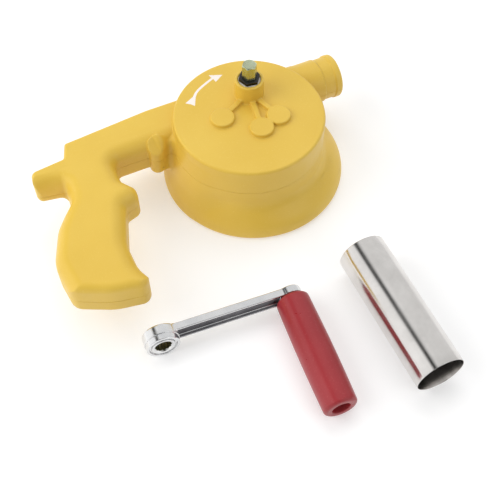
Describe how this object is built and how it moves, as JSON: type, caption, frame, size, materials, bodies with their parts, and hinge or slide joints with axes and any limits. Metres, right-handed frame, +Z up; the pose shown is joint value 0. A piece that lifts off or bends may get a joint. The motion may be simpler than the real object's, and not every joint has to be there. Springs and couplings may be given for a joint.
{
  "type": "hand-cranked air blower",
  "caption": "Pistol-grip hand blower: round geared drum on a flared base, side nozzle, loose crank handle with a turning grip, and a loose slip-on outlet tube.",
  "frame": {"origin": "impeller axis where it meets the plane that the flared base stands on", "axes": "+Z up along the crank shaft and impeller axes, +X out of the nozzle, pistol grip towards -Y"},
  "size_m": [0.2409, 0.2748, 0.0856],
  "materials": {
    "yellow_plastic": "moulded ABS, soft sheen, warm yellow",
    "red_plastic": "moulded plastic, semi-gloss, brick red, faint mottling",
    "crank_chrome": "bright chrome plate over pressed steel",
    "polished_stainless": "polished stainless tube, faint lengthwise lines",
    "passivated_zinc": "yellow-passivated zinc plate",
    "blackened_steel": "black oxide, slightly oily",
    "pale_nylon": "natural nylon",
    "gear_nylon": "natural moulded nylon, greased",
    "black_plastic": "moulded, matt",
    "galvanised_sheet": "galvanised sheet",
    "bronze_bush": "sintered bronze, oiled",
    "bright_steel": "ground steel",
    "zinc_screws": "zinc-plated screws"
  },
  "bodies": {
    "housing": {"upper_housing": "yellow_plastic", "lower_housing": "yellow_plastic", "gear_plate": "galvanised_sheet", "inlet_cover": "yellow_plastic", "boss_bush": "bronze_bush", "plate_bush": "bronze_bush", "impeller_upper_bush": "bronze_bush", "impeller_lower_bush": "bronze_bush", "first_idler_axle": "bright_steel", "second_idler_axle": "bright_steel", "housing_screws": "zinc_screws", "plate_screws": "zinc_screws", "cover_screws": "zinc_screws"},
    "drive": {"crank_shaft": "passivated_zinc", "crank_gear": "gear_nylon", "lock_nut": "blackened_steel", "thrust_washer": "pale_nylon"},
    "first_idler": {"first_idler_gear": "gear_nylon"},
    "second_idler": {"second_idler_gear": "gear_nylon"},
    "impeller": {"impeller": "black_plastic", "impeller_shaft": "bright_steel", "impeller_pinion": "gear_nylon", "impeller_clip": "bright_steel"},
    "crank": {"crank_arm": "crank_chrome", "grip_spindle": "crank_chrome", "spindle_washer": "bright_steel", "spindle_cap": "blackened_steel"},
    "grip": {"grip": "red_plastic"},
    "tube": {"outlet_tube": "polished_stainless"}
  },
  "joints": [
    {"name": "drive_spin", "type": "hinge", "parent": "housing", "child": "drive", "pos_m": [0.00815, 0.01735, 0.06], "axis": [0, 0, 1], "continuous": true},
    {"name": "first_idler_spin", "type": "hinge", "parent": "housing", "child": "first_idler", "pos_m": [0.01726, -0.0107, 0.047], "axis": [0, 0, 1], "continuous": true},
    {"name": "second_idler_spin", "type": "hinge", "parent": "housing", "child": "second_idler", "pos_m": [0.00212, -0.01586, 0.047], "axis": [0, 0, 1], "continuous": true},
    {"name": "impeller_spin", "type": "hinge", "parent": "housing", "child": "impeller", "pos_m": [0, 0, 0.03], "axis": [0, 0, 1], "continuous": true},
    {"name": "crank_lift", "type": "slide", "parent": "housing", "child": "crank", "axis": [0, 0, 1], "range_m": [0, 0.08]},
    {"name": "grip_spin", "type": "hinge", "parent": "crank", "child": "grip", "pos_m": [-0.02521, -0.11485, 0.0118], "axis": [-0.0837, -0.9965, 0], "continuous": true},
    {"name": "tube_lift", "type": "slide", "parent": "housing", "child": "tube", "axis": [0, 0, 1], "range_m": [0, 0.08]}
  ],
  "couplings": [
    {"joint": "second_idler_spin", "follows": "impeller_spin", "ratio": -0.45454},
    {"joint": "first_idler_spin", "follows": "impeller_spin", "ratio": 0.20661},
    {"joint": "drive_spin", "follows": "impeller_spin", "ratio": -0.064279}
  ]
}
